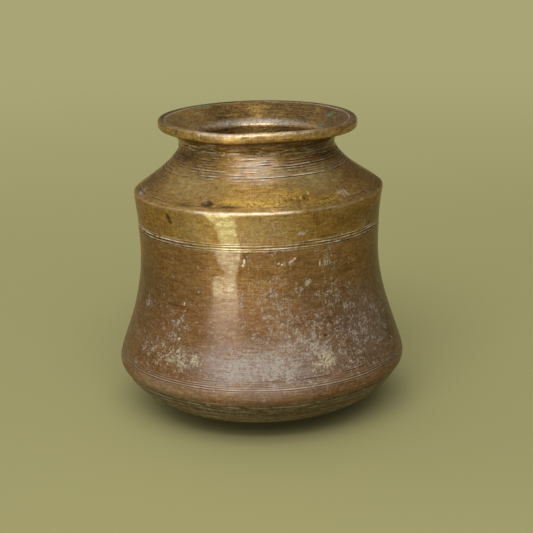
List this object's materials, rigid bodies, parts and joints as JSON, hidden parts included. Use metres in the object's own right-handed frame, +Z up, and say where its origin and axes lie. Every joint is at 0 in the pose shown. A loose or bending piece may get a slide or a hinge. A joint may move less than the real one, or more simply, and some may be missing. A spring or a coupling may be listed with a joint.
{
  "type": "lota",
  "caption": "Vintage brass water pot with a dished base, waisted body, banded shoulder with incised rings, short neck and thick flaring lip.",
  "frame": {"origin": "middle of the flat spot under the base dish, on the surface that the pot stands on", "axes": "+Z up along the pot's axis; the side that the picture shows faces -Y, with +X to its right"},
  "size_m": [0.1144, 0.1144, 0.1182],
  "materials": {
    "yellow_brass": "aged yellow brass, lathe-turned, worn satin",
    "rim_brass": "aged yellow brass, hand-worn, half bright",
    "red_brass": "red-brown patina with lime bloom, dull satin",
    "dark_brass": "dark olive-brown patina, lathe-marked, dull satin",
    "spelter": "rough braze, dull"
  },
  "bodies": {
    "root": {"base_dish": "dark_brass", "base_braze": "spelter", "body_wall": "red_brass", "waist_braze": "spelter", "shoulder": "yellow_brass", "neck_braze": "spelter", "rim": "rim_brass"}
  },
  "joints": []
}
